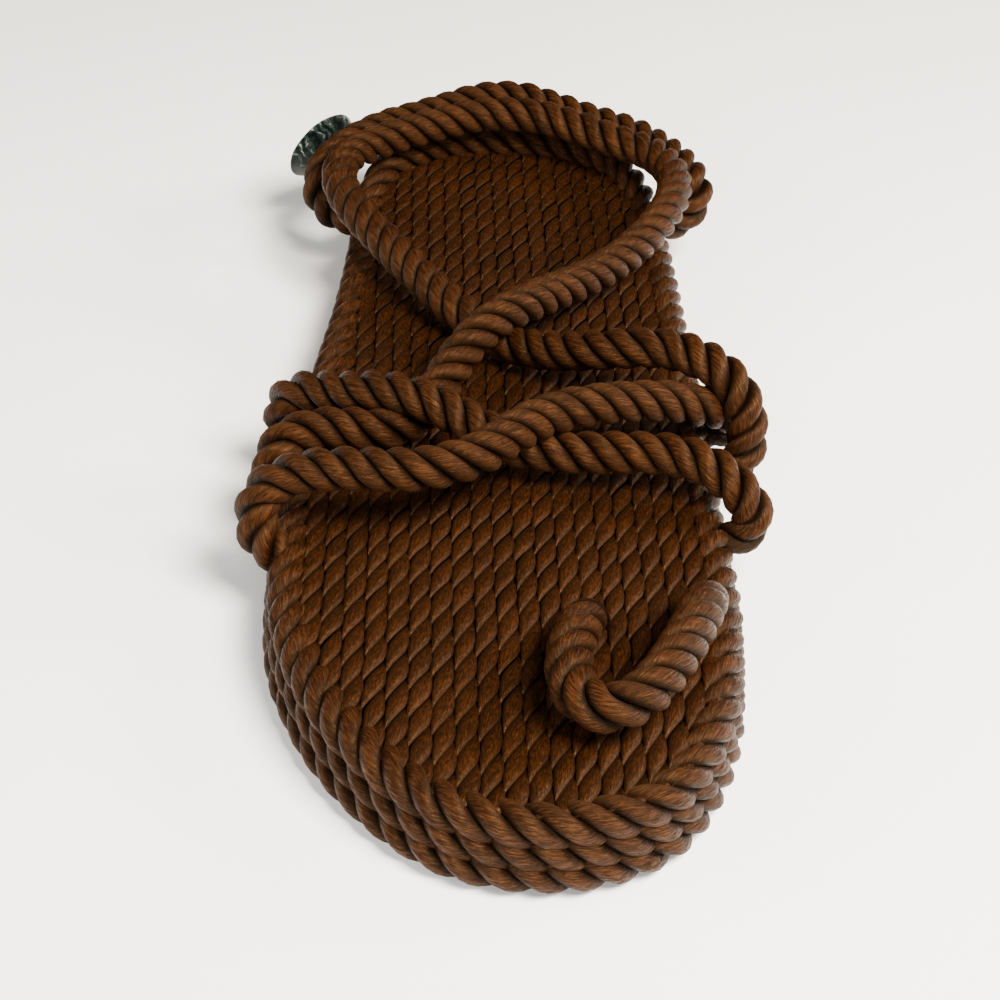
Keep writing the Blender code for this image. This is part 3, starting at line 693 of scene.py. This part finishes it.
def ropeBase(name, lines, closed=False, lay=rope["lay"]):
    # polylines that carry the squeeze and the turns per metre
    vertices, edges, squeeze, turns = [], [], [], []
    for line in lines:
        first = len(vertices)
        points = line + line[:1] if closed else line
        length = lineLength(points)
        turnCount = length / lay
        if closed:
            turnCount = round(turnCount)  # a ring meets itself only after whole turns
        rate = turnCount / (length * mm)
        travelled = 0.0
        for i, point in enumerate(line):
            if i:
                travelled += (point - line[i - 1]).length
            vertices.append((point + soleCentre) * mm)
            turns.append(rate)
            if closed:
                squeeze.append(1.0)
                continue
            end = min(travelled, length - travelled)
            grown = min(max((end - rope["squeezeLength"]) / rope["squeezeFade"], 0.0), 1.0)
            squeeze.append(rope["squeezed"] + (1.0 - rope["squeezed"]) * grown)
        edges += [(first + i, first + i + 1) for i in range(len(line) - 1)]
        if closed:
            edges.append((first + len(line) - 1, first))
    mesh = bpy.data.meshes.new(name)
    mesh.from_pydata(vertices, edges, [])
    mesh.attributes.new("squeeze", "FLOAT", "POINT").data.foreach_set("value", squeeze)
    mesh.attributes.new("turnsPerMetre", "FLOAT", "POINT").data.foreach_set("value", turns)
    return mesh


def makeRope(name, base, material, **changes):
    size = dict(rope, **changes)
    return runTree(name, base, ropeTree, {
        "Rope Radius": size["radius"] * mm, "Strand Radius": size["strandRadius"] * mm,
        "Section Spacing": size["spacing"] * mm, "Sides": size["sides"],
        "Unevenness": size["unevenness"] * mm, "Material": material})


strapLines = {name: evenLine(route) for name, route in strapRoutes.items()}
straps = makeRope("straps_rope", ropeBase("straps_rope", strapLines.values()), ropeFinish)
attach(straps, "root")
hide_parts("straps")
print("straps", len(straps.data.polygons))

toeLoop = makeRope("toe_loop_rope", ropeBase("toe_loop_rope", [evenLine(toeLoopRoute)]), ropeFinish)
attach(toeLoop, "root")
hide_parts("toe_loop")
print("toe loop", len(toeLoop.data.polygons))

border = {"radius": 4.15, "strandRadius": 1.87, "lay": 18.2, "spacing": 1.15, "sides": 12}  # mm
borderRows = {
    # node: (outer edge inset mm, centre height mm, rise at the heel mm, point where the turn starts)
    "border_rope_lower": (0.0, 4.4, 0.2, 0),
    "border_rope_middle": (0.6, 9.2, 2.4, 130),
    "border_rope_upper": (1.2, 14.0, 4.6, 260),
}
for node, (inset, height, rise, start) in borderRows.items():
    line = edgeLine(inset + border["radius"], height, rimHeight=rise)
    line = line[start:] + line[:start]
    base = ropeBase(node, [line], closed=True, lay=border["lay"])
    ring = makeRope(node + "_twisted", base, borderFinish, **border)
    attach(ring, "root")
    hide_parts(node)
    print(node, len(ring.data.polygons))

# mats

mat = {
    "columnWidth": 4.1,  # mm
    "stagger": 0.38,  # share of a lobe's spacing that the next column lies higher
    "climb": 1.5,  # spacings that a crease climbs in half a turn: one across the visible 120 degrees
    "shakiness": 0.5,  # mm that a column may lie too high or too low
    "columnSeed": 7,
    "lobeSeed": 5,
    "edgeRoom": 4.6,  # mm, the lobes end this far inside the sole's edge, under the border rope
    "slabRoom": 5.0,  # mm, the same for the slab behind them
    "slabSides": 90,
    "margin": 3.0,  # mm, a lobe whose middle lies further outside than this is left out
    "halfColumns": 11,  # columns and rows on each side of the middle one, enough for the whole sole
    "halfRows": 20,
}
mats = {
    # node: (crest level, lobe spacing, crease, groove, overlap, slab's low and high level, all in mm,
    # turned over)
    "footbed": (16.95, 7.3, 1.25, 0.9, 0.6, 7.3, 15.2, False),
    "outsole": (0.25, 6.75, 1.25, 1.4, 0.3, 1.9, 7.0, True),
}


def insideness(edge):
    # makes a function that tells how far inside the edge a point lies, and the edge's nearest point
    places = KDTree(len(edge))
    for i, point in enumerate(edge):
        places.insert((point.x, point.y, 0), i)
    places.balance()

    def measure(point):
        nearest, i, _ = places.find((point.x, point.y, 0))
        ahead = edge[(i + 1) % len(edge)] - edge[i - 1]
        inward = Vector((ahead.y, -ahead.x, 0)).normalized()
        return (Vector((point.x, point.y, 0)) - nearest).dot(inward), nearest
    return measure


depthInside = insideness(edgeLine(mat["edgeRoom"], rimInset=heelRim["matInset"], count=900))

for node, (level, spacing, depth, groove, overlap, low, high, turned) in mats.items():
    # a point for each lobe
    centres = []
    shaky = random.Random(mat["columnSeed"])
    side = -1 if turned else 1
    for column in range(-mat["halfColumns"], mat["halfColumns"] + 1):
        x = column * mat["columnWidth"]
        shift = (column * mat["stagger"] * side % 1) * spacing
        shift += shaky.uniform(-mat["shakiness"], mat["shakiness"])
        for row in range(-mat["halfRows"], mat["halfRows"] + 1):
            y = row * spacing + shift
            if depthInside(Vector((x, y, 0)))[0] > -mat["margin"]:
                centres.append((Vector((x, y, level)) + soleCentre) * mm)
    base = bpy.data.meshes.new(node)
    base.from_pydata(centres, [], [])
    base.attributes.new("turned", "FLOAT", "POINT").data.foreach_set(
        "value", [math.pi if turned else 0.0] * len(centres))
    rows = runTree(node + "_rows", base, lobeTree, {
        "Column Width": mat["columnWidth"] * mm, "Lobe Spacing": spacing * mm,
        "Climb": mat["climb"] * spacing * mm, "Depth": depth * mm, "Groove": groove * mm,
        "Overlap": overlap * mm, "Seed": mat["lobeSeed"],
        "Material": matFinish})
    # what lies past the edge is drawn in to it
    shape = bmesh.new()
    shape.from_mesh(rows.data)
    for vertex in shape.verts:
        inside, nearest = depthInside(vertex.co / mm - soleCentre)
        if inside < 0:
            vertex.co.xy = ((nearest + soleCentre) * mm).xy
    # the cords' buried halves, as one slab
    rim = edgeLine(mat["slabRoom"], rimInset=heelRim["matInset"], count=mat["slabSides"])
    lower, upper = [
        [shape.verts.new((point + soleCentre + Vector((0, 0, height))) * mm) for point in rim]
        for height in (low, high)]
    faces = [shape.faces.new(lower), shape.faces.new(upper[::-1])]
    for i in range(len(rim)):
        faces.append(shape.faces.new((lower[i - 1], upper[i - 1], upper[i], lower[i])))
    bmesh.ops.recalc_face_normals(shape, faces=faces)
    shape.to_mesh(rows.data)
    shape.free()
    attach(rows, "root")
    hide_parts(node)
    print(node, len(centres), "lobes", len(rows.data.polygons))

# button

button = {
    "centre": (-45.9, 110.8, 21.95),  # mm
    "facing": (-0.65, 0.68, 0.34),
    "radius": 10.6,  # mm
    "thickness": 2.8,  # mm
    "holeRadius": 1.1,  # mm
    "holeSpacing": 4.4,  # mm
    "waviness": 0.22,  # mm, how far the rim wanders from a true circle
    "sides": 96,
}
shellLook = {
    # abalone shell, ground to a lens and polished: dark growth bands, with green and grey
    # mother-of-pearl between them
    "bands": ["#020303", "#070B0A", "#121F1B", "#030404", "#26332F", "#080D0B", "#8A938C"],
    "places": [0.0, 0.30, 0.42, 0.52, 0.66, 0.74, 0.94],
    "bandWidth": 1.1,  # mm, about the width of one dark or light band
    "driftSize": 5.26,  # mm, the folds that bend the bands
    "driftReach": 6.0,  # mm that a fold may push a band aside
    "cloudSize": 2.38,  # mm, soft clouds within the bands
    "cloudShare": 0.45,
    "roughness": 0.26,
    "polish": 0.12,
}

# the shell's material
shellFinish = bpy.data.materials.new("polished_abalone_shell")
shellFinish.use_nodes = True
tree = shellFinish.node_tree
shader = tree.nodes["Principled BSDF"]
coordinates = addNode(tree, "ShaderNodeTexCoord").outputs["Object"]
drift = addNode(tree, "ShaderNodeTexNoise",
                {"Vector": coordinates, "Scale": 1000 / shellLook["driftSize"], "Detail": 3.0})
bend = addNode(tree, "ShaderNodeVectorMath", {0: drift.outputs["Color"], 1: (0.5, 0.5, 0.5)},
               operation="SUBTRACT")
swept = addNode(tree, "ShaderNodeVectorMath",
                {0: bend.outputs[0], 1: [shellLook["driftReach"] * mm] * 3, 2: coordinates},
                operation="MULTIPLY_ADD")
growth = addNode(tree, "ShaderNodeTexWave",
                 {"Vector": swept.outputs[0], "Scale": 1000 / (math.tau * shellLook["bandWidth"]),
                  "Distortion": 3.5, "Detail": 3.0, "Detail Scale": 2.0},
                 wave_type="BANDS", bands_direction="DIAGONAL")
cloud = addNode(tree, "ShaderNodeTexNoise",
                {"Vector": swept.outputs[0], "Scale": 1000 / shellLook["cloudSize"],
                 "Detail": 4.0})
blend = addNode(tree, "ShaderNodeMix",
                {"Factor": shellLook["cloudShare"], "A": growth.outputs["Fac"],
                 "B": cloud.outputs["Fac"]})
ramp = addNode(tree, "ShaderNodeValToRGB", {"Fac": blend.outputs[0]})
elements = ramp.color_ramp.elements
for i, (spot, code) in enumerate(zip(shellLook["places"], shellLook["bands"])):
    element = elements.new(spot) if i else elements[0]
    element.position = spot
    element.color = hexToLinear(code)
elements.remove(elements[-1])  # the one that every new ramp has at its end
ridges = addNode(tree, "ShaderNodeBump", {"Height": growth.outputs["Fac"], "Strength": 0.25,
                                          "Distance": 0.05 * mm})
tree.links.new(ramp.outputs[0], shader.inputs["Base Color"])
tree.links.new(ridges.outputs[0], shader.inputs["Normal"])
shader.inputs["Roughness"].default_value = shellLook["roughness"]
shader.inputs["Specular IOR Level"].default_value = 0.25  # the dark layers mirror only a little
shader.inputs["IOR"].default_value = 1.6  # aragonite
shader.inputs["Coat Weight"].default_value = shellLook["polish"]
shader.inputs["Coat Roughness"].default_value = 0.06

# the shell's shape, made flat at the origin and then turned and moved to its place
buttonTurn = Vector(button["facing"]).to_track_quat("Z", "Y").to_matrix().to_4x4()
buttonTurn.translation = (Vector(button["centre"]) + soleCentre) * mm
half = button["thickness"] / 2
dome = [
    # radius and height as shares: both faces are domes that meet in a thin rim
    (0.0, 1.0), (0.25, 0.99), (0.5, 0.95), (0.7, 0.83), (0.84, 0.62), (0.93, 0.38), (0.98, 0.16),
    (1.0, 0.0),
]
lathe = dome + [(share, -level) for share, level in dome[-2::-1]]
shape = bmesh.new()
rings = []
for share, level in lathe:
    if share == 0.0:
        rings.append([shape.verts.new((0, 0, level * half * mm))])
        continue
    ring = []
    for i in range(button["sides"]):
        angle = math.tau * i / button["sides"]
        # two, three and seven waves round the rim
        wander = math.sin(2 * angle + 0.6) + 0.6 * math.sin(3 * angle + 2.1)
        wander += 0.35 * math.sin(7 * angle)
        reach = share * (button["radius"] - button["waviness"] * 1.6)
        reach = (reach + share ** 3 * button["waviness"] * wander) * mm
        spot = (reach * math.cos(angle), reach * math.sin(angle), level * half * mm)
        ring.append(shape.verts.new(spot))
    rings.append(ring)
for inner, outer in zip(rings, rings[1:]):
    for i in range(button["sides"]):
        k = (i + 1) % button["sides"]
        if len(inner) == 1:
            shape.faces.new((inner[0], outer[i], outer[k]))
        elif len(outer) == 1:
            shape.faces.new((inner[i], outer[0], inner[k]))
        else:
            shape.faces.new((inner[i], outer[i], outer[k], inner[k]))
bmesh.ops.recalc_face_normals(shape, faces=shape.faces)
shellMesh = bpy.data.meshes.new("shell_button")
shape.to_mesh(shellMesh)
shape.free()
shell = addObject("shell_button", shellMesh)

# its two holes
drill = bpy.data.meshes.new("drill")
shape = bmesh.new()
holeRadius = button["holeRadius"] * mm
for side in (-1, 1):
    made = bmesh.ops.create_cone(shape, cap_ends=True, segments=28, radius1=holeRadius,
                                 radius2=holeRadius, depth=4 * half * mm)
    bmesh.ops.translate(shape, verts=made["verts"],
                        vec=(side * button["holeSpacing"] / 2 * mm, 0, 0))
shape.to_mesh(drill)
shape.free()
drillTool = addObject("drill", drill)
cut = shell.modifiers.new("holes", "BOOLEAN")
cut.operation = "DIFFERENCE"
cut.object = drillTool
cut.solver = "EXACT"
bpy.context.view_layer.update()
graph = bpy.context.evaluated_depsgraph_get()
drilled = bpy.data.meshes.new_from_object(shell.evaluated_get(graph), depsgraph=graph)
shell.modifiers.clear()
shell.data = drilled
bpy.data.objects.remove(drillTool)

drilled.transform(buttonTurn)
drilled.materials.clear()
drilled.materials.append(shellFinish)
drilled.shade_smooth()
drilled.set_sharp_from_angle(angle=math.radians(40))
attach(shell, "root")
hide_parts("button")

# thread: two loops through the holes, down to the heel strap
thread = {"radius": 0.32, "lay": 1.3, "strandRadius": 0.19, "spacing": 0.2, "sides": 8,
          "unevenness": 0.04}  # mm
anchor = min(strapLines["heel"], key=lambda point: (point - Vector(button["centre"])).length)
anchor = (buttonTurn.inverted() @ ((anchor + soleCentre) * mm)) / mm  # seen from the button
anchor *= 0.8  # on the near side of the strap, not in its middle
reach = button["holeSpacing"] / 2
stitches = []
for across, lift in ((-0.34, 0.0), (0.34, 0.12)):  # mm, the loops lie side by side
    # mm from the button's middle: from the strap through one hole, and back through the other
    stitch = [
        (anchor.x - 0.8, anchor.y + across * 0.6, anchor.z), (-reach, across * 0.8, -half - 0.6),
        (-reach, across, half * 0.5), (-reach * 0.72, across, half + 0.16 + lift),
        (0, across * 0.9, half + 0.22 + lift),
        (reach * 0.72, across, half + 0.16 + lift), (reach, across, half * 0.5),
        (reach, across * 0.8, -half - 0.6), (anchor.x + 0.8, anchor.y + across * 0.6, anchor.z),
    ]
    line = smoothLine(stitch, samples=10)
    line = [(buttonTurn @ (point * mm)) / mm - soleCentre for point in line]
    stitches.append(spaced(line, round(lineLength(line) / 0.4)))
base = ropeBase("button_thread", stitches, lay=thread["lay"])
base.attributes["squeeze"].data.foreach_set("value", [1.0] * len(base.vertices))  # no squeeze
sewn = makeRope("button_thread", base, ropeFinish, **thread)
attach(sewn, "root")
print("button", len(drilled.polygons), "thread", len(sewn.data.polygons))
